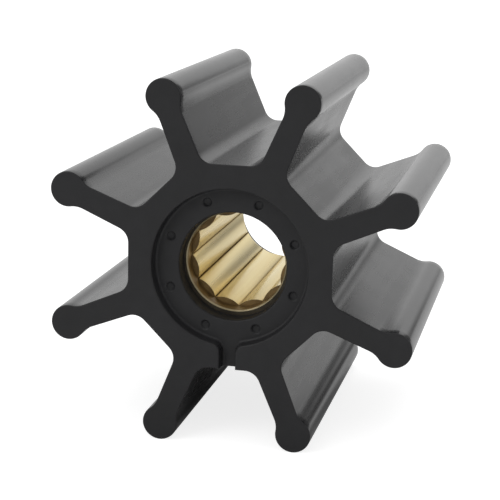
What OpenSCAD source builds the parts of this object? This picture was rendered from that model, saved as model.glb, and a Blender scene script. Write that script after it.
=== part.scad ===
// Flexible pump impeller: a rubber rotor with round-tipped vanes, moulded over a brass
// insert whose bore is cut with teeth for a splined shaft.
// The shaft line lies along Y through the origin, and the front face looks towards -Y.
// The rotor stands on its two lowest vanes.

/* [Rotor] */
// Diameter over the vane tips
tip_dia = 65; // [58:0.5:76]
// Width of the rotor from face to face
rotor_w = 50.8; // [36:0.1:64]
// Number of vanes
vane_count = 8; // [6:1:9]
// Distance across two opposite flats of the hub
hub_flats = 34; // [31:0.5:38]

/* [Vanes] */
// Diameter of the round bead along each vane tip
bead_dia = 5.9; // [5:0.1:7]
// Thickness of a vane where it leaves the hub
vane_root_t = 4.3; // [3.8:0.1:5]
// Thickness of a vane where it runs into its bead
vane_neck_t = 3.8; // [3:0.1:4.2]
// Radius that blends a vane into its bead
neck_r = 3.7; // [2:0.1:5]
// Radius that blends a vane into the hub flat
root_r = 2.6; // [1:0.1:3.2]

/* [Hub ends] */
// Diameter of the round recess in each face of the hub
recess_dia = 26; // [25:0.1:28]
// Depth of the recess
recess_depth = 2; // [1:0.1:2.8]
// Chamfer round the mouth of the recess
recess_edge = 0.3; // [0.1:0.05:0.6]
// Diameter of the hole in the rubber lip over each end of the insert
lip_dia = 18; // [17.4:0.1:19]
// Chamfer round the mouth of the hole in the lip
lip_edge = 0.4; // [0.1:0.05:0.6]
// Width of the water groove that runs from the front recess down to the hub flat
groove_w = 2.7; // [2:0.1:4]
// Radius of the two corners where the groove opens into the recess
groove_corner_r = 1.5; // [0.5:0.1:2.2]
// Diameter of the pin marks on the floor of the front recess
mark_dia = 1.3; // [1:0.1:1.6]
// Depth of the pin marks
mark_depth = 0.5; // [0.3:0.1:1]
// Diameter of the circle that the pin marks lie on
mark_circle_dia = 22.3; // [21.5:0.1:22.6]

/* [Insert] */
// Outer diameter of the insert
insert_dia = 25; // [24:0.1:26.5]
// How far each end of the insert lies inside the face of the rotor
insert_inset = 5.2; // [4.2:0.1:7]
// Chamfer on the outer edge of each end of the insert
insert_edge = 0.5; // [0.2:0.1:1]
// Number of teeth in the bore
tooth_count = 12; // [10:1:14]
// Bore diameter over the crests of the teeth
crest_dia = 14.7; // [14.3:0.1:15.1]
// Bore diameter at the bottom of the valleys between the teeth
valley_dia = 16.4; // [16:0.1:16.4]
// Diameter of the plain bore in front of the teeth, and of the cone behind them where it opens
pilot_dia = 16.5; // [16.5:0.1:16.9]
// Depth of the plain bore in the front end
front_pilot = 2.9; // [1:0.1:5]
// Chamfer at the mouth of the plain bore
pilot_edge = 0.15; // [0.1:0.05:0.3]
// Length of the lead-in cone that opens from the crests of the teeth to the rear end
rear_lead = 3.1; // [2:0.1:5]

/* [Hidden] */
$fn = 96;
// A cut starts this far outside the face that it opens
past = 1;
// A blend is cut this much deeper than its radius, so that it runs out cleanly
bite = 0.001;
// Extra stock on the vane tips before they are cut round
stock = 1;

vane_pitch = 360 / vane_count;
tooth_pitch = 360 / tooth_count;
hub_r = hub_flats / 2;
recess_r = recess_dia / 2;
face_z = rotor_w / 2;
floor_z = face_z - recess_depth;
insert_z = face_z - insert_inset;

// One vane, drawn along +X from the shaft line: its bead, and its flank from root to neck
bead_r = bead_dia / 2;
bead_c = [tip_dia / 2 - bead_r, 0];
flank_start = [hub_r, vane_root_t / 2];
flank_end = [bead_c[0], vane_neck_t / 2];
flank_dir = (flank_end - flank_start) / norm(flank_end - flank_start);
flank_out = [-flank_dir[1], flank_dir[0]];

// Centre of the neck blend, which lies neck_r off the flank and touches the bead from outside
neck_from_bead = flank_start + neck_r * flank_out - bead_c;
neck_along = neck_from_bead * flank_dir;
neck_back = sqrt(neck_along ^ 2 - norm(neck_from_bead) ^ 2 + (neck_r + bead_r) ^ 2);
neck_c = bead_c + neck_from_bead - (neck_along + neck_back) * flank_dir;

// Centre of the root blend, which lies root_r off the flank and root_r off the next hub flat
flat_out = [cos(vane_pitch / 2), sin(vane_pitch / 2)];
root_off_flank = flank_out * flank_start + root_r;
root_off_flat = hub_r + root_r;
root_c = [
    root_off_flank * flat_out[1] - root_off_flat * flank_out[1],
    root_off_flat * flank_out[0] - root_off_flank * flat_out[0]
] / (flank_out[0] * flat_out[1] - flank_out[1] * flat_out[0]);

// One side of a vane with a square tip, from the hub outwards
to_neck = (neck_c - bead_c) / norm(neck_c - bead_c);
function tip_side(extra) = [
    bead_c + (bead_r + extra) * to_neck,
    bead_c + [0, bead_r + extra],
    bead_c + [bead_r + extra, bead_r + extra]
];
vane_side = concat([
    root_c - root_r * flat_out,
    root_c - root_r * flank_out,
    neck_c - neck_r * flank_out
], tip_side(stock));

// Corner blend of the water groove, which touches the recess and one side of the groove
corner_x = groove_w / 2 + groove_corner_r;
corner_c = [corner_x, -sqrt((recess_r + groove_corner_r) ^ 2 - corner_x ^ 2)];

// Tooth of the bore: a round lobe through its crest and the valleys on both sides of it
crest_r = crest_dia / 2;
valley = valley_dia / 2 * [cos(tooth_pitch / 2), sin(tooth_pitch / 2)];
lobe_r = ((valley[0] - crest_r) ^ 2 + valley[1] ^ 2) / (2 * (valley[0] - crest_r));

// Angles that spread a number of copies round the shaft, with a gap straight down
function spread(count) = [for (i = [0 : count - 1]) -90 + (i + 0.5) * 360 / count];

function turned(p, a) = [p[0] * cos(a) - p[1] * sin(a), p[0] * sin(a) + p[1] * cos(a)];

// Both sides of a shape that is the same above and below its centre line, in one loop
function both(side) = concat(
    [for (p = side) [p[0], -p[1]]],
    [for (i = [len(side) - 1 : -1 : 0]) side[i]]
);

module around(count) {
    for (a = spread(count))
        rotate(a) children();
}

module both_sides() {
    children();
    mirror([0, 1, 0]) children();
}

module both_ends() {
    children();
    mirror([0, 0, 1]) children();
}

// Lays the shaft line along Y, with the front face towards -Y
module lay_down() {
    rotate([90, 0, 0]) children();
}

// Straight-sided star of hub and vanes, before its tips and blends are cut round
module rotor_blank() {
    vane = both(vane_side);
    linear_extrude(rotor_w, center = true)
        polygon([for (a = spread(vane_count)) for (p = vane) turned(p, a)]);
}

// Cuts the square tip of one vane down to its round bead
module tip_cut() {
    linear_extrude(rotor_w + 2 * past, center = true)
        difference() {
            polygon(concat([bead_c], both(tip_side(2 * stock))));
            translate(bead_c) circle(bead_r);
        }
}

// Round cut along the whole rotor that leaves one blend
module blend_cut(centre, radius) {
    translate(centre) cylinder(h = rotor_w + 2 * past, r = radius + bite, center = true);
}

module rotor_star() {
    difference() {
        rotor_blank();
        around(vane_count) {
            tip_cut();
            both_sides() {
                blend_cut(neck_c, neck_r);
                blend_cut(root_c, root_r);
            }
        }
    }
}

// Round recess in one face, and the hole in the rubber lip behind it
module recess() {
    translate([0, 0, floor_z]) cylinder(h = recess_depth + past, r = recess_r);
    translate([0, 0, face_z - recess_edge])
        cylinder(h = recess_edge + past, r1 = recess_r, r2 = recess_r + recess_edge + past);
    translate([0, 0, insert_z - past]) cylinder(h = insert_inset + past, d = lip_dia);
    translate([0, 0, floor_z - lip_edge])
        cylinder(h = lip_edge + past, d1 = lip_dia, d2 = lip_dia + 2 * (lip_edge + past));
}

// Water groove, as deep as the recess, out through the lowest hub flat
module water_groove() {
    translate([0, 0, floor_z])
        linear_extrude(recess_depth + past) {
            translate([-groove_w / 2, -hub_r - past]) square([groove_w, hub_r + past]);
            for (side = [0, 1])
                mirror([side, 0])
                    difference() {
                        polygon([
                            corner_c * recess_r / norm(corner_c),
                            corner_c - [groove_corner_r, 0],
                            [0, -recess_r + groove_corner_r]
                        ]);
                        translate(corner_c) circle(groove_corner_r + bite);
                    }
        }
}

// Marks of the pins that hold the insert in the mould, one in line with each vane
module pin_marks() {
    around(vane_count)
        translate([mark_circle_dia / 2, 0, floor_z - mark_depth])
            cylinder(h = mark_depth + past, d = mark_dia);
}

// Outer form of the insert, which the rubber is moulded round
module insert_blank() {
    body_z = insert_z - insert_edge;
    cylinder(h = 2 * body_z, d = insert_dia, center = true);
    both_ends()
        translate([0, 0, body_z])
            cylinder(h = insert_edge, d1 = insert_dia, d2 = insert_dia - 2 * insert_edge);
}

// Plain bore in the front end, with its chamfered mouth
module plain_bore() {
    translate([0, 0, insert_z - front_pilot]) cylinder(h = front_pilot + past, d = pilot_dia);
    translate([0, 0, insert_z - pilot_edge])
        cylinder(h = pilot_edge + past, d1 = pilot_dia, d2 = pilot_dia + 2 * (pilot_edge + past));
}

// Lead-in cone at the rear end. It starts inside the crests and ends outside the end face
module lead_in() {
    widening = (pilot_dia - crest_dia) / rear_lead;
    translate([0, 0, -insert_z - past])
        cylinder(
            h = rear_lead + 2 * past,
            d1 = pilot_dia + past * widening,
            d2 = crest_dia - past * widening
        );
}

// Bore between the teeth, which are round lobes that meet in sharp valleys
module toothed_bore() {
    linear_extrude(2 * insert_z, center = true)
        difference() {
            circle(d = pilot_dia);
            around(tooth_count)
                translate([crest_r + lobe_r, 0]) circle(lobe_r);
        }
}

module rubber_rotor() {
    color("#2f2f31")
        lay_down()
            difference() {
                rotor_star();
                insert_blank();
                both_ends() recess();
                water_groove();
                pin_marks();
            }
}

module splined_insert() {
    color("#c6b484")
        lay_down()
            difference() {
                insert_blank();
                toothed_bore();
                plain_bore();
                lead_in();
            }
}

rubber_rotor();
splined_insert();
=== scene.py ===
"""Looks of a flexible pump impeller: a moulded rubber star bonded round a splined brass insert.

The shape classes hold their sizes in millimetres, in the frame of the solids: the shaft line
lies along Y, the front face looks towards -Y, and a drawing of a cross-section uses X and Z.
The finishes hold theirs in metres. A colour is red, green, blue and alpha, from 0 to 1.
"""

import logging
import math
from dataclasses import dataclass, field
from enum import Enum

import bmesh
import bpy
import numpy as np
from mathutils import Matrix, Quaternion, Vector

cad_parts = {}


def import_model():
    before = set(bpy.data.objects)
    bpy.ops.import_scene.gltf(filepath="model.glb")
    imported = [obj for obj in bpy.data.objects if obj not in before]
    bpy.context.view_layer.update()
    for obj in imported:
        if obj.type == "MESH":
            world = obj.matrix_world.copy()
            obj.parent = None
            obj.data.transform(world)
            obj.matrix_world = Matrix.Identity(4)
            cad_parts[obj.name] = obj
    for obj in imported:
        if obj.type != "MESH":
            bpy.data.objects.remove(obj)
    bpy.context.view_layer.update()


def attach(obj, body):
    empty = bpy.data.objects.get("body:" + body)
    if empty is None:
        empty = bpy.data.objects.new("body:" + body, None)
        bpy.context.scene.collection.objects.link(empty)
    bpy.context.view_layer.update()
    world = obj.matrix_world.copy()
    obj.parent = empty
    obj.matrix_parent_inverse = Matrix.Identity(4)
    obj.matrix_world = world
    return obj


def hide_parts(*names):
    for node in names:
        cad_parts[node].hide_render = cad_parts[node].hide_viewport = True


Colour = tuple[float, float, float, float]
Place = tuple[float, float, float]
Span = tuple[float, float]
Socket = bpy.types.NodeSocket

LOG = logging.getLogger("impeller")
MM = 0.001
WHITE = (1.0, 1.0, 1.0, 1.0)
# Points of an outline that lie closer together than this are one point.
SAME_POINT = 1e-4
# How far a cutter stands out of the face that it cuts into.
PAST = 1.0
# Limits that hold nearly all values of a noise, and those that hold its middle.
WIDE = (0.3, 0.7)
MIDDLE = (0.35, 0.65)


class End(Enum):
    """The two ends of the shaft line, by the sign of their Y."""

    FRONT = -1
    REAR = 1


class Skin(Enum):
    """Surfaces of the rubber, by the index of their material."""

    MOULDED = 0
    MATT = 1


class Cut(Enum):
    """Surfaces of the brass, by the index of their material."""

    BROACHED = 0
    TURNED = 1
    MOUTH = 2
    END = 3
    TOOTH_END = 4


@dataclass
class Outline:
    """Points of a cross-section in X and Z, with the normals that leave its inside."""

    points: np.ndarray
    normals: np.ndarray

    @classmethod
    def arc(
        cls, centre: np.ndarray, radius: float, start: float, end: float, steps: int, hollow: bool
    ) -> "Outline":
        """Points on an arc.

        Args:
            centre: The arc's centre.
            radius: Its radius.
            start: Angle of its first point, in radians.
            end: Angle of its last point, in radians.
            steps: Number of stretches between the first and last point.
            hollow: True if the inside of the outline lies outside the arc.

        Returns:
            The arc as an outline.
        """
        angles = np.linspace(start, end, steps + 1)
        out = np.stack([np.cos(angles), np.sin(angles)], axis=1)
        return cls(centre + radius * out, -out if hollow else out)

    @classmethod
    def joined(cls, parts: list["Outline"]) -> "Outline":
        """Join outlines one after the other, without the points that repeat.

        Args:
            parts: The outlines, in the order in which they are walked.

        Returns:
            One outline.
        """
        points = np.vstack([p.points for p in parts])
        normals = np.vstack([p.normals for p in parts])
        step = np.linalg.norm(points - np.roll(points, 1, axis=0), axis=1)
        keep = step > SAME_POINT
        return cls(points[keep], normals[keep])

    @classmethod
    def circle(cls, radius: float, steps: int) -> "Outline":
        """A round outline about the shaft line."""
        return cls.joined([cls.arc(np.zeros(2), radius, 0.0, 2 * math.pi, steps, hollow=False)])

    def flipped(self) -> "Outline":
        """The outline on the other side of its first axis, in the same order."""
        other_side = np.array([1.0, -1.0])
        return Outline(self.points * other_side, self.normals * other_side)

    def reversed(self) -> "Outline":
        """The same outline, walked the other way."""
        return Outline(self.points[::-1], self.normals[::-1])

    def turned(self, angle: float) -> "Outline":
        """Turn the outline about the shaft line.

        Args:
            angle: The angle, in radians.

        Returns:
            The turned outline.
        """
        c, s = math.cos(angle), math.sin(angle)
        turn = np.array([[c, s], [-s, c]])
        return Outline(self.points @ turn, self.normals @ turn)

    def ring(self, y: float, grow: float = 0.0) -> np.ndarray:
        """Points in space of the outline at one place along the shaft.

        Args:
            y: Place along the shaft line.
            grow: How far each point moves along its normal.

        Returns:
            One row of X, Y and Z for each point.
        """
        flat = self.points + self.normals * grow
        return np.stack([flat[:, 0], np.full(len(flat), y), flat[:, 1]], axis=1)


def loft(name: str, rings: list[np.ndarray], closed: bool = False) -> bpy.types.Object:
    """Skin rings of equally many points.

    Args:
        name: Name of the new object.
        rings: Points of each ring, in millimetres.
        closed: True if the last ring joins the first, so that there are no end caps.

    Returns:
        The new object, in metres.
    """
    count = len(rings[0])
    shell = bmesh.new()
    rows = [[shell.verts.new(p * MM) for p in ring] for ring in rings]
    pairs = list(zip(rows, rows[1:]))
    if closed:
        pairs.append((rows[-1], rows[0]))
    for a, b in pairs:
        for i in range(count):
            j = (i + 1) % count
            shell.faces.new((a[i], a[j], b[j], b[i]))
    if not closed:
        shell.faces.new(rows[0])
        shell.faces.new(rows[-1])
    bmesh.ops.recalc_face_normals(shell, faces=shell.faces)
    mesh = bpy.data.meshes.new(name)
    shell.to_mesh(mesh)
    shell.free()
    made = bpy.data.objects.new(name, mesh)
    bpy.context.scene.collection.objects.link(made)
    return made


def carve(body: bpy.types.Object, tools: list[bpy.types.Object]) -> None:
    """Cut each tool out of a body, and throw the tools away.

    Args:
        body: The object that is cut.
        tools: Closed objects, whose room is taken out of it.
    """
    for tool in tools:
        cut = body.modifiers.new(tool.name, "BOOLEAN")
        cut.operation = "DIFFERENCE"
        cut.solver = "EXACT"
        cut.object = tool
    graph = bpy.context.evaluated_depsgraph_get()
    mesh = bpy.data.meshes.new_from_object(body.evaluated_get(graph))
    body.modifiers.clear()
    body.data = mesh
    for tool in tools:
        bpy.data.objects.remove(tool)


def smooth(body: bpy.types.Object, crease: float, large_first: int = 80) -> None:
    """Shade a body smooth, but keep its flats flat and its edges crisp.

    Args:
        body: The object.
        crease: Angle in degrees over which an edge stays crisp.
        large_first: Weight of large faces against small ones, from 1 to 100. 50 is even.
    """
    body.data.shade_smooth()
    body.data.set_sharp_from_angle(angle=math.radians(crease))
    even = body.modifiers.new("even_flats", "WEIGHTED_NORMAL")
    even.keep_sharp = True
    even.weight = large_first


def about(middle: float, spread: float) -> Span:
    """The span from a spread below a value to a spread above it."""
    return (middle - spread, middle + spread)


def rounded(size: float, steps: int) -> list[Span]:
    """Walk over a rounded edge, from the face next to it to the wall.

    Args:
        size: Radius of the round.
        steps: Number of stretches.

    Returns:
        For each point, how far it lies below the face, and how far out from the wall.
    """
    angles = np.linspace(0.0, math.pi / 2, steps + 1)
    return [(size * (1 - math.cos(a)), size * (1 - math.sin(a))) for a in angles]


@dataclass
class StarSection:
    """Cross-section of the rubber star."""

    tip_r: float = 32.5
    hub_r: float = 17.0
    vanes: int = 8
    bead_r: float = 2.95
    root_half: float = 2.15
    neck_half: float = 1.9
    neck_blend: float = 3.7
    root_blend: float = 2.6
    root_steps: int = 9
    neck_steps: int = 10
    bead_steps: int = 26

    def half_vane(self) -> Outline:
        """Draw one side of a vane along X.

        Returns:
            The outline from the middle of the next hub flat to the tip.
        """
        bead = np.array([self.tip_r - self.bead_r, 0.0])
        start = np.array([self.hub_r, self.root_half])
        along = np.array([bead[0], self.neck_half]) - start
        along /= np.linalg.norm(along)
        out = np.array([-along[1], along[0]])

        # The neck blend lies its radius off the flank, and touches the bead from outside.
        offset = start + self.neck_blend * out - bead
        ahead = float(offset @ along)
        reach = self.neck_blend + self.bead_r
        back = math.sqrt(ahead**2 - float(offset @ offset) + reach**2)
        neck = bead + offset - (ahead + back) * along

        # The root blend lies its radius off the flank and off the hub flat.
        step = math.pi / self.vanes
        flat = np.array([math.cos(step), math.sin(step)])
        root = np.linalg.solve(
            np.array([out, flat]),
            np.array([float(out @ start), self.hub_r]) + self.root_blend,
        )
        flank_angle = math.atan2(-out[1], -out[0])
        flat_angle = math.atan2(-flat[1], -flat[0])
        bead_angle = math.atan2(bead[1] - neck[1], bead[0] - neck[0])
        return Outline.joined(
            [
                Outline(np.array([self.hub_r * flat]), np.array([flat])),
                Outline.arc(
                    root, self.root_blend, flat_angle, flank_angle, self.root_steps, hollow=True
                ),
                Outline.arc(
                    neck, self.neck_blend, flank_angle, bead_angle, self.neck_steps, hollow=True
                ),
                Outline.arc(
                    bead, self.bead_r, bead_angle + math.pi, 0.0, self.bead_steps, hollow=False
                ),
            ]
        )

    def angles(self) -> list[float]:
        """Angles of the vanes in radians, with a gap straight down."""
        return [math.radians(-90 + (i + 0.5) * 360 / self.vanes) for i in range(self.vanes)]

    def whole(self) -> Outline:
        """Draw the whole star.

        Returns:
            The outline, once round.
        """
        half = self.half_vane()
        sides = []
        for angle in self.angles():
            sides += [half.flipped().turned(angle), half.reversed().turned(angle)]
        return Outline.joined(sides)


@dataclass
class Recess:
    """Recess in a face of the hub, with or without the water groove."""

    radius: float = 13.0
    depth: float = 2.0
    mouth_round: float = 0.3
    draft: float = 0.15
    floor_round: float = 0.45
    groove_w: float = 2.7
    groove_corner: float = 1.5
    groove_end: float = 19.0
    round_steps: int = 192
    bowl_steps: int = 180
    corner_steps: int = 10
    mouth_steps: int = 4
    floor_steps: int = 5

    def plain(self) -> Outline:
        """The recess without a groove."""
        return Outline.circle(self.radius, self.round_steps)

    def grooved(self) -> Outline:
        """Draw the recess with the groove that leads out of it straight down.

        Returns:
            The outline, once round.
        """
        half = self.groove_w / 2
        x = half + self.groove_corner
        corner = np.array([x, -math.sqrt((self.radius + self.groove_corner) ** 2 - x**2)])
        sideways = np.array([[1.0, 0.0]])
        wall = Outline(np.array([[half, -self.groove_end]]), sideways)
        inwards = math.atan2(-corner[1], -corner[0])
        turn = Outline.arc(
            corner, self.groove_corner, math.pi, inwards, self.corner_steps, hollow=True
        )
        start = math.atan2(corner[1], corner[0])
        bowl = Outline.arc(
            np.zeros(2), self.radius, start, math.pi - start, self.bowl_steps, hollow=False
        )
        other = np.array([-1.0, 1.0])
        right = Outline.joined([wall, turn])
        left = Outline(right.points * other, right.normals * other).reversed()
        return Outline.joined([right, bowl, left])

    def profile(self) -> list[Span]:
        """Draw the wall of the recess.

        Returns:
            Depths below the face, each with how far the recess is wider there than its outline.
        """
        mouth = rounded(self.mouth_round, self.mouth_steps)
        floor = [
            (self.depth - out, -self.draft - below)
            for below, out in rounded(self.floor_round, self.floor_steps)
        ]
        return [(-PAST, mouth[0][1]), *mouth, *floor]

    def cutter(self, name: str, outline: Outline, end: End, face_y: float) -> bpy.types.Object:
        """Make the form that the recess takes out of one end of the hub.

        Args:
            name: Name of the new object.
            outline: The recess with or without its groove.
            end: The end of the hub.
            face_y: Distance of its face from the middle of the hub.

        Returns:
            The cutter.
        """
        sign = end.value
        rings = [outline.ring(sign * (face_y - depth), grow) for depth, grow in self.profile()]
        return loft(name, rings)


@dataclass
class RubberStar:
    """The moulded rubber: hub, vanes, recesses, lips, water groove and pin marks."""

    section: StarSection = field(default_factory=StarSection)
    recess: Recess = field(default_factory=Recess)
    face_y: float = 25.4
    end_round: float = 0.22
    end_steps: int = 4
    side_rings: int = 26
    lip_r: float = 9.0
    lip_round: float = 0.35
    lip_steps: int = 4
    # The hole in the front lip sits a little off the shaft line.
    lip_shift: Place = (0.15, 0.0, -0.15)
    insert_y: float = 20.2
    seat_r: float = 12.5
    seat_edge: float = 0.5
    seat_steps: int = 160
    mark_r: float = 0.65
    mark_circle_r: float = 11.15
    mark_steps: int = 28
    # Depths below the floor of the recess, each with how far a mark is wider than its radius.
    mark_profile: tuple[Span, ...] = (
        (-0.5, 0.3),
        (0.0, 0.3),
        (0.05, 0.16),
        (0.14, 0.06),
        (0.3, -0.03),
        (0.4, -0.12),
        (0.45, -0.35),
    )
    # The matt skin reaches this far round the recess. Elsewhere it covers the faces whose
    # normal has more than this part along the shaft.
    matt_rim: float = 0.5
    matt_lean: float = 0.5
    crease: float = 32.0

    def blank(self) -> bpy.types.Object:
        """Make the star with rounded ends, before anything is cut into it.

        Returns:
            The new object.
        """
        star = self.section.whole()
        ends = [
            (self.face_y - below, -out) for below, out in rounded(self.end_round, self.end_steps)
        ]
        between = np.linspace(-self.face_y, self.face_y, self.side_rings)[1:-1]
        front = [star.ring(-y, grow) for y, grow in ends]
        middle = [star.ring(y) for y in between]
        rear = [star.ring(y, grow) for y, grow in reversed(ends)]
        return loft("rubber_star", front + middle + rear)

    def core(self) -> bpy.types.Object:
        """Make the room for the insert, and the holes in the lips over both of its ends.

        Returns:
            The cutter.
        """
        floor_y = self.face_y - self.recess.depth
        hole = [(floor_y + PAST, self.lip_r + self.lip_round)]
        hole += [
            (floor_y - below, self.lip_r + out)
            for below, out in rounded(self.lip_round, self.lip_steps)
        ]
        hole.append((self.insert_y, self.lip_r))
        seat = [
            (self.insert_y, self.seat_r - self.seat_edge),
            (self.insert_y - self.seat_edge, self.seat_r),
        ]
        unit = Outline.circle(1.0, self.seat_steps)
        front = [unit.ring(-y, r - 1.0) + self.lip_shift for y, r in hole]
        front += [unit.ring(-y, r - 1.0) for y, r in seat]
        rear = [unit.ring(y, r - 1.0) for y, r in reversed(hole + seat)]
        return loft("core", front + rear)

    def pin_marks(self) -> list[bpy.types.Object]:
        """Make the small dents in the floor of the front recess.

        Returns:
            One cutter in line with each vane.
        """
        floor_y = self.face_y - self.recess.depth
        unit = Outline.circle(self.mark_r, self.mark_steps)
        marks = []
        for i, angle in enumerate(self.section.angles()):
            at = self.mark_circle_r * np.array([math.cos(angle), 0.0, math.sin(angle)])
            rings = [unit.ring(-floor_y + depth, grow) + at for depth, grow in self.mark_profile]
            marks.append(loft(f"pin_mark_{i}", rings))
        return marks

    def skin_of(self, face: bpy.types.MeshPolygon) -> Skin:
        """Tell the kind of surface that a face belongs to.

        Args:
            face: A face of the finished rubber.

        Returns:
            Matt on the end faces and all over the recesses and lips, moulded elsewhere.
        """
        middle = face.center / MM
        in_recess = math.hypot(middle.x, middle.z) < self.recess.radius + self.matt_rim
        at_end = abs(face.normal.y) > self.matt_lean
        return Skin.MATT if in_recess or at_end else Skin.MOULDED

    def build(self, finishes: dict[Skin, bpy.types.Material]) -> bpy.types.Object:
        """Make the rubber and dress it.

        Args:
            finishes: Finish of each kind of surface, in the order of their indices.

        Returns:
            The finished piece.
        """
        body = self.blank()
        front = self.recess.cutter("front_recess", self.recess.grooved(), End.FRONT, self.face_y)
        rear = self.recess.cutter("rear_recess", self.recess.plain(), End.REAR, self.face_y)
        carve(body, [front, rear, self.core(), *self.pin_marks()])
        body.data.materials.clear()
        for finish in finishes.values():
            body.data.materials.append(finish)
        for face in body.data.polygons:
            face.material_index = self.skin_of(face).value
        smooth(body, self.crease)
        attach(body, "root")
        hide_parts("rubber_rotor")
        return body


@dataclass
class BrassInsert:
    """The brass insert: a sleeve with twelve broached teeth behind a plain front bore."""

    end_y: float = 20.2
    outer_r: float = 12.5
    outer_edge: float = 0.5
    pilot_r: float = 8.25
    mouth_edge: float = 0.2
    # How far the two edges of the mouth are broken: on the flat beside them, and on the chamfer.
    soft_out: float = 0.03
    soft_in: float = 0.012
    front_pilot: float = 2.9
    rear_lead: float = 3.1
    crest_r: float = 7.35
    valley_r: float = 8.2
    teeth: int = 12
    tooth_edge: float = 0.05
    steps_per_tooth: int = 24
    tooth_rings: int = 14
    # Least part of its normal along the shaft for a face that is square to it.
    square: float = 0.99
    crease: float = 12.0

    def angles(self) -> np.ndarray:
        """Angles once round, with a point at each crest and in each valley."""
        count = self.teeth * self.steps_per_tooth
        return np.arange(count) * 2 * math.pi / count

    def tooth_radius(self) -> np.ndarray:
        """Work out the bore between the teeth. Each tooth is a round lobe.

        Returns:
            The radius at each angle.
        """
        pitch = 2 * math.pi / self.teeth
        valley = self.valley_r * np.array([math.cos(pitch / 2), math.sin(pitch / 2)])
        rise = valley[0] - self.crest_r
        lobe = (rise**2 + valley[1] ** 2) / (2 * rise)
        centre = self.crest_r + lobe
        from_crest = (self.angles() % pitch) - pitch / 2
        return centre * np.cos(from_crest) - np.sqrt(lobe**2 - (centre * np.sin(from_crest)) ** 2)

    def ring(self, y: float | np.ndarray, radius: float | np.ndarray) -> np.ndarray:
        """Points in space once round the shaft.

        Args:
            y: Place along the shaft, of all points or of each.
            radius: Distance from the shaft line, of all points or of each.

        Returns:
            One row of X, Y and Z for each angle.
        """
        angles = self.angles()
        radius = np.broadcast_to(radius, angles.shape)
        along = np.broadcast_to(y, angles.shape)
        return np.stack([radius * np.cos(angles), along, radius * np.sin(angles)], axis=1)

    def outside(self, end: End) -> list[np.ndarray]:
        """Draw the chamfered outer edge of one end.

        Args:
            end: The end of the insert.

        Returns:
            Rings from the outside to the end face.
        """
        sign = end.value
        return [
            self.ring(sign * (self.end_y - self.outer_edge), self.outer_r),
            self.ring(sign * self.end_y, self.outer_r - self.outer_edge),
        ]

    def front_bore(self) -> list[np.ndarray]:
        """Draw the plain bore in the front end.

        Returns:
            Rings from its mouth down to its floor, where the teeth start.
        """
        mouth = self.pilot_r + self.mouth_edge
        teeth = self.tooth_radius()
        depths = [
            (0.0, mouth + self.soft_out),
            (self.soft_out, mouth - self.soft_in),
            (self.mouth_edge, self.pilot_r + self.soft_in),
            (self.mouth_edge + self.soft_out, self.pilot_r),
            (self.front_pilot, self.pilot_r),
            (self.front_pilot, np.minimum(teeth + self.tooth_edge, self.pilot_r - self.soft_out)),
            (self.front_pilot + self.tooth_edge, teeth),
        ]
        return [self.ring(-self.end_y + depth, radius) for depth, radius in depths]

    def teeth_to_rear(self) -> list[np.ndarray]:
        """Draw the teeth, and the lead-in cone behind them.

        Returns:
            Rings from the front of the teeth to the rear face.
        """
        teeth = self.tooth_radius()
        slope = self.rear_lead / (self.pilot_r - self.crest_r)
        cone_y = self.end_y - (self.pilot_r - teeth) * slope
        start = -self.end_y + self.front_pilot + self.tooth_edge
        shares = np.linspace(0.0, 1.0, self.tooth_rings)[1:]
        along = [start + (cone_y - start) * share for share in shares]
        return [self.ring(y, teeth) for y in along] + [self.ring(self.end_y, self.pilot_r)]

    def cut_of(self, face: bpy.types.MeshPolygon) -> Cut:
        """Tell the kind of surface that a face belongs to.

        Args:
            face: A face of the finished insert.

        Returns:
            The kind of surface.
        """
        middle = face.center / MM
        out = math.hypot(middle.x, middle.z)
        teeth_y = -self.end_y + self.front_pilot
        mid_wall = (self.outer_r + self.pilot_r) / 2
        if out < self.valley_r and middle.y > teeth_y + self.tooth_edge / 2:
            return Cut.BROACHED
        if abs(face.normal.y) > self.square:
            return Cut.END if abs(middle.y) > self.end_y - self.outer_edge else Cut.TOOTH_END
        if out < mid_wall and middle.y < -self.end_y + self.mouth_edge:
            return Cut.MOUTH
        return Cut.TURNED

    def build(self, finishes: dict[Cut, bpy.types.Material]) -> bpy.types.Object:
        """Make the insert and dress it.

        Args:
            finishes: Finish of each kind of surface, in the order of their indices.

        Returns:
            The finished piece.
        """
        rings = self.outside(End.FRONT) + self.front_bore() + self.teeth_to_rear()
        body = loft("brass_insert", rings + self.outside(End.REAR)[::-1], closed=True)
        for finish in finishes.values():
            body.data.materials.append(finish)
        for face in body.data.polygons:
            face.material_index = self.cut_of(face).value
        smooth(body, self.crease)
        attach(body, "root")
        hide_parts("splined_insert")
        return body


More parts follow.
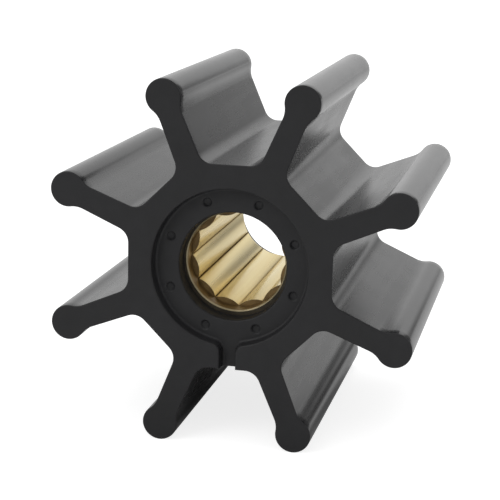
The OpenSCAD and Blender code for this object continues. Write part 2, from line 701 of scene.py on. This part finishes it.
class Sheet:
    """A node tree with short ways to add and join its nodes."""

    def __init__(self, tree: bpy.types.NodeTree) -> None:
        """Take over a tree and empty it."""
        self.tree = tree
        tree.nodes.clear()

    @classmethod
    def of_material(cls, material: bpy.types.Material) -> "Sheet":
        """Take over the nodes of a new material."""
        material.use_nodes = True
        return cls(material.node_tree)

    def set(self, socket: Socket, value: object) -> None:
        """Link a socket to another, or give it a value.

        Args:
            socket: An input.
            value: The socket that feeds it, or its fixed value.
        """
        if isinstance(value, Socket):
            self.tree.links.new(value, socket)
        else:
            socket.default_value = value

    def add(self, kind: str, inputs: dict | None = None, **settings: object) -> bpy.types.Node:
        """Add a node.

        Args:
            kind: Blender's name of the node's type.
            inputs: Values or sockets by the name or index of the input.
            settings: Properties of the node.

        Returns:
            The new node.
        """
        node = self.tree.nodes.new(kind)
        for name, value in settings.items():
            setattr(node, name, value)
        for key, value in (inputs or {}).items():
            self.set(node.inputs[key], value)
        return node

    def math(self, operation: str, *values: object) -> Socket:
        """Put out the result of one step of arithmetic."""
        node = self.add("ShaderNodeMath", dict(enumerate(values)), operation=operation)
        return node.outputs[0]

    def mix(self, factor: object, a: object, b: object) -> Socket:
        """Mix two colours.

        Args:
            factor: Share of the second colour.
            a: The first colour.
            b: The second colour.

        Returns:
            The mixed colour.
        """
        # The inputs for colours come after those for numbers and vectors.
        node = self.add("ShaderNodeMix", {0: factor, 6: a, 7: b}, data_type="RGBA")
        return node.outputs[2]

    def ramp(self, value: Socket, limits: Span, to: Span = (0.0, 1.0)) -> Socket:
        """Turn a value into a smooth step.

        Args:
            value: The value.
            limits: Where the step starts and ends.
            to: What is put out before and after the step.

        Returns:
            The step.
        """
        low, high = limits
        node = self.add(
            "ShaderNodeMapRange",
            {"Value": value, "From Min": low, "From Max": high, "To Min": to[0], "To Max": to[1]},
            interpolation_type="SMOOTHSTEP",
        )
        return node.outputs[0]

    def noise(self, place: Socket, scale: float, detail: float) -> Socket:
        """Put out a soft noise.

        Args:
            place: The point that it is taken at.
            scale: Its grains per metre.
            detail: Number of finer noises added to it.

        Returns:
            A value from 0 to 1.
        """
        node = self.add("ShaderNodeTexNoise", {"Vector": place, "Scale": scale, "Detail": detail})
        return node.outputs[0]

    def scaled(self, place: Socket, scale: object) -> Socket:
        """Put out a point with each of its axes multiplied by a number of its own."""
        node = self.add("ShaderNodeVectorMath", {0: place, 1: scale}, operation="MULTIPLY")
        return node.outputs[0]

    def radius(self, place: Socket) -> Socket:
        """Put out the distance of a point from the shaft line."""
        across = self.scaled(place, (1.0, 0.0, 1.0))
        return self.add("ShaderNodeVectorMath", {0: across}, operation="LENGTH").outputs["Value"]

    def bump(self, height: Socket, distance: float, normal: Socket | None = None) -> Socket:
        """Roughen a surface.

        Args:
            height: Height of the surface, from 0 to 1.
            distance: Height of 1, in metres.
            normal: The normal of the surface if it is rough already.

        Returns:
            The new normal.
        """
        inputs = {"Height": height, "Strength": 1.0, "Distance": distance}
        if normal is not None:
            inputs["Normal"] = normal
        return self.add("ShaderNodeBump", inputs).outputs[0]

    def mirrored(self, path: bpy.types.Node) -> Socket:
        """Put out 1 where a Light Path node tells of a ray from a glossy or clear surface."""
        rays = path.outputs
        return self.math("MAXIMUM", rays["Is Glossy Ray"], rays["Is Transmission Ray"])


@dataclass(frozen=True)
class Streaks:
    """Noise drawn out along the shaft, as a mould or a broach leaves it."""

    name: str = "long_streaks"
    detail: float = 3.0
    roughness: float = 0.55

    def group(self) -> bpy.types.ShaderNodeTree:
        """Make the node group on first use.

        Returns:
            The group, which puts out a value from 0 to 1.
        """
        known = bpy.data.node_groups.get(self.name)
        if known:
            return known
        tree = bpy.data.node_groups.new(self.name, "ShaderNodeTree")
        for name in ("Across", "Along", "Seed"):
            tree.interface.new_socket(name, in_out="INPUT", socket_type="NodeSocketFloat")
        tree.interface.new_socket("Value", in_out="OUTPUT", socket_type="NodeSocketFloat")
        sheet = Sheet(tree)
        given = sheet.add("NodeGroupInput").outputs
        place = sheet.add("ShaderNodeTexCoord").outputs["Object"]
        scale = sheet.add(
            "ShaderNodeCombineXYZ", {0: given["Across"], 1: given["Along"], 2: given["Across"]}
        )
        noise = sheet.add(
            "ShaderNodeTexNoise",
            {
                "Vector": sheet.scaled(place, scale.outputs[0]),
                "W": given["Seed"],
                "Scale": 1.0,
                "Detail": self.detail,
                "Roughness": self.roughness,
            },
            noise_dimensions="4D",
        )
        sheet.add("NodeGroupOutput", {0: noise.outputs[0]})
        return tree

    def place(self, sheet: Sheet, across: float, along: float, seed: float) -> Socket:
        """Put the group into a material.

        Args:
            sheet: The material's nodes.
            across: Streaks per metre across the shaft.
            along: Streaks per metre along the shaft.
            seed: Picks one pattern.

        Returns:
            The value of the streaks.
        """
        node = sheet.add("ShaderNodeGroup", node_tree=self.group())
        for name, value in (("Across", across), ("Along", along), ("Seed", seed)):
            node.inputs[name].default_value = value
        return node.outputs["Value"]


@dataclass(frozen=True)
class RubberFinish:
    """Black rubber, a little glossier on the tips of the vanes."""

    name: str
    colour: Colour
    roughness: float
    # How far the roughness wanders to both sides, and how much of it the vane tips lack.
    spread: float
    tip_shine: float
    streak_depth: float
    grain_depth: float
    # Distances from the shaft line between which the tips begin.
    tips: Span = (0.0265, 0.0285)
    # Share by which the clouds darken and lighten the colour.
    tone_swing: float = 0.14
    # Streaks per metre across and along the shaft, and the number of their pattern.
    streaks: Place = (420.0, 30.0, 1.0)
    # Grains per metre of a soft noise, and the number of finer noises added to it.
    clouds: Span = (130.0, 4.0)
    grain: Span = (4200.0, 2.0)
    # Share of the streaks in the wander of the roughness. The rest is clouds.
    streak_share: float = 0.6
    ior: float = 1.5

    def tone(self, swing: float) -> Colour:
        """The colour, lighter by a share of itself, or darker where the share is negative."""
        return tuple(c * (1.0 + swing) for c in self.colour[:3]) + (1.0,)

    def material(self) -> bpy.types.Material:
        """Make the finish.

        Returns:
            The material.
        """
        made = bpy.data.materials.new(self.name)
        sheet = Sheet.of_material(made)
        place = sheet.add("ShaderNodeTexCoord").outputs["Object"]
        streaks = Streaks().place(sheet, *self.streaks)
        clouds = sheet.noise(place, *self.clouds)
        grain = sheet.noise(place, *self.grain)
        colour = sheet.mix(
            sheet.ramp(clouds, WIDE), self.tone(-self.tone_swing), self.tone(self.tone_swing)
        )
        wander = sheet.math(
            "ADD",
            sheet.math("MULTIPLY", streaks, self.streak_share),
            sheet.math("MULTIPLY", clouds, 1.0 - self.streak_share),
        )
        rough = sheet.ramp(wander, WIDE, about(self.roughness, self.spread))
        shine = sheet.ramp(sheet.radius(place), self.tips, (0.0, self.tip_shine))
        rough = sheet.math("SUBTRACT", rough, shine)
        normal = sheet.bump(grain, self.grain_depth, sheet.bump(streaks, self.streak_depth))
        shader = sheet.add(
            "ShaderNodeBsdfPrincipled",
            {"Base Color": colour, "Roughness": rough, "Normal": normal, "IOR": self.ior},
        )
        sheet.add("ShaderNodeOutputMaterial", {0: shader.outputs[0]})
        return made


@dataclass(frozen=True)
class BroachedBrass:
    """Bright brass, drawn smooth along the shaft, with painted shade darkening the valleys between
    the teeth.
    """

    name: str = "broached_brass"
    colour: Colour = (0.92, 0.78, 0.42, 1.0)
    shade: Colour = (0.84, 0.68, 0.33, 1.0)
    roughness: float = 0.29
    spread: float = 0.02
    # Streaks per metre across and along the shaft, and the number of their pattern: fine ones
    # for gloss and depth, broad ones for colour.
    fine: Place = (2000.0, 24.0, 4.0)
    broad: Place = (400.0, 14.0, 7.0)
    mark_depth: float = 0.0000006
    teeth: int = 12
    # Painted shade in the valleys: its colour, how far it reaches in tooth pitches, the least share
    # of it, the step of the seed from one valley to the next, and how much rougher it is.
    painted_valley_shade: Colour = (0.20, 0.12, 0.045, 1.0)
    valley_shade_reach: float = 0.06
    valley_shade_least: float = 0.3
    valley_shade_seed: float = 179.5
    valley_shade_rough: float = 0.5

    def painted_valley_shade_mask(self, sheet: Sheet, place: Socket) -> Socket:
        """Find the painted shade, of which each valley has its own share.

        Args:
            sheet: The material's nodes.
            place: Points of the surface.

        Returns:
            A value from 0 to 1.
        """
        axes = sheet.add("ShaderNodeSeparateXYZ", {0: place})
        angle = sheet.math("ARCTAN2", axes.outputs[2], axes.outputs[0])
        turns = sheet.math("MULTIPLY", angle, self.teeth / (2 * math.pi))
        valley = sheet.math("ROUND", turns)
        off = sheet.math("ABSOLUTE", sheet.math("SUBTRACT", turns, valley))
        which = sheet.math("FLOORED_MODULO", valley, float(self.teeth))
        seed = sheet.math("MULTIPLY", which, self.valley_shade_seed)
        chance = sheet.add("ShaderNodeTexWhiteNoise", {"W": seed}, noise_dimensions="1D")
        least = self.valley_shade_least
        share = sheet.math("MULTIPLY_ADD", chance.outputs["Value"], 1.0 - least, least)
        return sheet.math("MULTIPLY", sheet.ramp(off, (0.0, self.valley_shade_reach), (1.0, 0.0)), share)

    def material(self) -> bpy.types.Material:
        """Make the finish.

        Returns:
            The material.
        """
        made = bpy.data.materials.new(self.name)
        sheet = Sheet.of_material(made)
        place = sheet.add("ShaderNodeTexCoord").outputs["Object"]
        # Painted shade: the colour darkens towards each valley between the teeth.
        painted_valley_shade = self.painted_valley_shade_mask(sheet, place)
        fine = Streaks().place(sheet, *self.fine)
        broad = Streaks().place(sheet, *self.broad)
        clean = sheet.mix(sheet.ramp(broad, MIDDLE), self.shade, self.colour)
        rough = sheet.ramp(fine, WIDE, about(self.roughness, self.spread))
        shader = sheet.add(
            "ShaderNodeBsdfPrincipled",
            {
                "Base Color": sheet.mix(painted_valley_shade, clean, self.painted_valley_shade),
                "Roughness": sheet.math("MULTIPLY_ADD", painted_valley_shade, self.valley_shade_rough, rough),
                "Normal": sheet.bump(fine, self.mark_depth),
                "Metallic": 1.0,
            },
        )
        sheet.add("ShaderNodeOutputMaterial", {0: shader.outputs[0]})
        return made


@dataclass(frozen=True)
class PaintedLightBrass:
    """Brass with painted shade or, on the mouth, a painted highlight, and fine tool marks round the
    shaft.
    """

    name: str
    colour: Colour
    light: Colour
    roughness: float
    metallic: float
    spread: float = 0.05
    # Grains per metre of a soft noise, and the number of finer noises added to it.
    marks: Span = (9000.0, 2.0)
    clouds: Span = (420.0, 3.0)
    mark_depth: float = 0.000003

    def material(self) -> bpy.types.Material:
        """Make the finish.

        Returns:
            The material.
        """
        made = bpy.data.materials.new(self.name)
        sheet = Sheet.of_material(made)
        place = sheet.add("ShaderNodeTexCoord").outputs["Object"]
        axes = sheet.add("ShaderNodeSeparateXYZ", {0: place})
        round_shaft = sheet.add(
            "ShaderNodeCombineXYZ", {0: sheet.radius(place), 1: axes.outputs[1], 2: 0.0}
        )
        marks = sheet.noise(round_shaft.outputs[0], *self.marks)
        clouds = sheet.noise(place, *self.clouds)
        rough = sheet.ramp(marks, WIDE, about(self.roughness, self.spread))
        shader = sheet.add(
            "ShaderNodeBsdfPrincipled",
            {
                "Base Color": sheet.mix(sheet.ramp(clouds, MIDDLE), self.colour, self.light),
                "Roughness": rough,
                "Normal": sheet.bump(marks, self.mark_depth),
                "Metallic": self.metallic,
            },
        )
        sheet.add("ShaderNodeOutputMaterial", {0: shader.outputs[0]})
        return made


@dataclass(frozen=True)
class Lamp:
    """A square soft lamp that looks at the object: place and side in metres, power in watts."""

    name: str
    at: Place
    side: float
    power: float

    def hang(self) -> None:
        """Put the lamp into the scene."""
        data = bpy.data.lights.new(self.name, "AREA")
        data.shape = "SQUARE"
        data.size = self.side
        data.energy = self.power
        made = bpy.data.objects.new(self.name, data)
        made.location = self.at
        made.rotation_mode = "QUATERNION"
        made.rotation_quaternion = (-Vector(self.at)).to_track_quat("-Z", "Y")
        bpy.context.scene.collection.objects.link(made)


@dataclass
class Studio:
    """Camera, lamps, world and floor."""

    # The photographer's place, the line of sight, the roll in degrees, and the lens and sensor.
    # The place is in millimetres, and so are lens and sensor. The clip distances are in metres.
    camera_at: Place = (54.89, -256.38, 59.13)
    look: Place = (-0.21154, 0.9501, -0.22927)
    roll: float = 1.362
    lens: float = 109.22
    sensor: float = 36.0
    clip: Span = (0.01, 50.0)
    lamps: tuple[Lamp, ...] = (
        Lamp("top_lamp", at=(0.1, 0.25, 0.75), side=0.5, power=1.6),
        Lamp("front_lamp", at=(-0.45, -0.6, 0.55), side=0.5, power=2.2),
    )
    # Light of the room on the object, and what the room looks like in a mirror: dark on the
    # photographer's side and bright behind, with a fade between them. The spans are of X, Y or
    # Z of a direction of length 1.
    room_light: float = 0.9
    front_dark: float = 0.05
    back_glow: float = 0.9
    fade_y: Span = (-0.75, -0.2)
    # A dark patch of the room at the right behind the object: where it fades in, and the share
    # of the light that it takes.
    gap_x: Span = (0.22, 0.3)
    gap_y: Span = (0.4, 0.8)
    gap_z: Span = (-0.01, 0.07)
    gap_dark: float = 0.85
    # Height and half width of the floor in millimetres, its own tone, how much it glows for the
    # camera, the share of that for mirrors, and how far from the object, in metres, a painted
    # shadow from ambient occlusion darkens that glow for mirrors.
    floor_z: float = -30.253
    floor_half: float = 4000.0
    paper: float = 0.4
    paper_glow: float = 0.8
    mirror_glow: float = 0.4
    shade_reach: float = 0.04
    shade_samples: int = 8

    def camera(self) -> None:
        """Put the camera at the photographer's place."""
        data = bpy.data.cameras.new("camera")
        data.lens = self.lens
        data.sensor_width = self.sensor
        data.clip_start, data.clip_end = self.clip
        made = bpy.data.objects.new("camera", data)
        made.location = Vector(self.camera_at) * MM
        turn = Vector(self.look).to_track_quat("-Z", "Y")
        roll = Quaternion((0.0, 0.0, 1.0), math.radians(self.roll))
        made.rotation_mode = "QUATERNION"
        made.rotation_quaternion = turn @ roll
        bpy.context.scene.collection.objects.link(made)
        bpy.context.scene.camera = made

    def world(self) -> None:
        """Set up even light, a white background, and a room for mirrors to show."""
        world = bpy.data.worlds.new("studio")
        bpy.context.scene.world = world
        world.use_nodes = True
        sheet = Sheet(world.node_tree)
        path = sheet.add("ShaderNodeLightPath")
        toward = sheet.add("ShaderNodeTexCoord").outputs["Generated"]
        x, y, z = sheet.add("ShaderNodeSeparateXYZ", {0: toward}).outputs
        wall = sheet.ramp(y, self.fade_y, (self.front_dark, self.back_glow))
        gap = sheet.math("MULTIPLY", sheet.ramp(x, self.gap_x), sheet.ramp(z, self.gap_z))
        gap = sheet.math("MULTIPLY", gap, sheet.ramp(y, self.gap_y))
        shade = sheet.math("SUBTRACT", 1.0, sheet.math("MULTIPLY", gap, self.gap_dark))
        room = sheet.math("MULTIPLY", wall, shade)
        extra = sheet.math("SUBTRACT", room, self.room_light)
        lit = sheet.math("MULTIPLY_ADD", sheet.mirrored(path), extra, self.room_light)
        strength = sheet.math("MAXIMUM", lit, path.outputs["Is Camera Ray"])
        glow = sheet.add("ShaderNodeBackground", {"Color": WHITE, "Strength": strength})
        sheet.add("ShaderNodeOutputWorld", {0: glow.outputs[0]})

    def floor(self) -> None:
        """Lay a pale floor that keeps the object's shadow and reads as white round it."""
        half = self.floor_half
        sides = np.array([[-half, -half], [half, -half], [half, half], [-half, half]])
        shell = bmesh.new()
        shell.faces.new([shell.verts.new((x * MM, y * MM, self.floor_z * MM)) for x, y in sides])
        mesh = bpy.data.meshes.new("floor")
        shell.to_mesh(mesh)
        shell.free()
        mesh.materials.append(self.pale_paper())
        floor = bpy.data.objects.new("floor", mesh)
        bpy.context.scene.collection.objects.link(floor)

    def pale_paper(self) -> bpy.types.Material:
        """Make the floor's finish.

        Returns:
            The material.
        """
        made = bpy.data.materials.new("pale_floor")
        sheet = Sheet.of_material(made)
        path = sheet.add("ShaderNodeLightPath")
        tone = (self.paper, self.paper, self.paper, 1.0)
        paper = sheet.add("ShaderNodeBsdfDiffuse", {"Color": tone})
        # Painted shadow: ambient occlusion darkens the floor's glow near the object, as mirrors see
        # it.
        painted_contact_shade = sheet.add(
            "ShaderNodeAmbientOcclusion", {"Distance": self.shade_reach}, samples=self.shade_samples
        )
        mirror = sheet.math("MULTIPLY", sheet.mirrored(path), self.mirror_glow)
        mirror = sheet.math("MULTIPLY", mirror, painted_contact_shade.outputs["AO"])
        seen = sheet.math("MAXIMUM", path.outputs["Is Camera Ray"], mirror)
        strength = sheet.math("MULTIPLY", seen, self.paper_glow)
        glow = sheet.add("ShaderNodeEmission", {"Strength": strength})
        both = sheet.add("ShaderNodeAddShader", {0: paper.outputs[0], 1: glow.outputs[0]})
        sheet.add("ShaderNodeOutputMaterial", {0: both.outputs[0]})
        return made

    def build(self) -> None:
        """Set up the whole studio."""
        self.camera()
        self.world()
        self.floor()
        for lamp in self.lamps:
            lamp.hang()
        bpy.context.scene.view_settings.view_transform = "Standard"


RUBBER = {
    Skin.MOULDED: RubberFinish(
        "moulded_rubber",
        colour=(0.0124, 0.0124, 0.0132, 1.0),
        roughness=0.27,
        spread=0.03,
        tip_shine=0.09,
        streak_depth=0.00001,
        grain_depth=0.0000012,
    ),
    Skin.MATT: RubberFinish(
        "matt_rubber",
        colour=(0.0096, 0.0096, 0.0108, 1.0),
        roughness=0.62,
        spread=0.05,
        tip_shine=0.0,
        streak_depth=0.0,
        grain_depth=0.00001,
    ),
}
BRASS = {
    Cut.BROACHED: BroachedBrass(),
    # Painted shade: the turned wall gets a dark brown in place of brass colour, for the dark room
    # that it mirrors in front.
    Cut.TURNED: PaintedLightBrass(
        "turned_brass_painted_dark",
        colour=(0.19, 0.122, 0.047, 1.0),
        light=(0.26, 0.17, 0.07, 1.0),
        roughness=0.4,
        metallic=0.7,
    ),
    # Painted highlight: a lighter, partly diffuse colour stands in for the glint along the mouth's
    # chamfer.
    Cut.MOUTH: PaintedLightBrass(
        "mouth_painted_glint",
        colour=(0.27, 0.22, 0.12, 1.0),
        light=(0.38, 0.315, 0.185, 1.0),
        roughness=0.35,
        metallic=0.4,
    ),
    # Painted shade: the end faces are coloured nearly black, for the dark room that they mirror in
    # front.
    Cut.END: PaintedLightBrass(
        "end_painted_dark",
        colour=(0.028, 0.022, 0.014, 1.0),
        light=(0.055, 0.044, 0.026, 1.0),
        roughness=0.55,
        metallic=0.3,
    ),
    # Painted shade: the tooth ends get a dark brown in place of brass colour, for the dark room
    # that they mirror in front.
    Cut.TOOTH_END: PaintedLightBrass(
        "tooth_ends_painted_dark",
        colour=(0.155, 0.098, 0.033, 1.0),
        light=(0.24, 0.155, 0.056, 1.0),
        roughness=0.5,
        metallic=0.35,
    ),
}


def main() -> None:
    """Build the impeller round its solids, and the studio round the impeller."""
    logging.basicConfig(level=logging.INFO, format="%(message)s")
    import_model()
    star = RubberStar().build({skin: finish.material() for skin, finish in RUBBER.items()})
    LOG.info("%s: %d faces", star.name, len(star.data.polygons))
    insert = BrassInsert().build({cut: finish.material() for cut, finish in BRASS.items()})
    LOG.info("%s: %d faces", insert.name, len(insert.data.polygons))
    Studio().build()


if __name__ == "__main__":
    main()
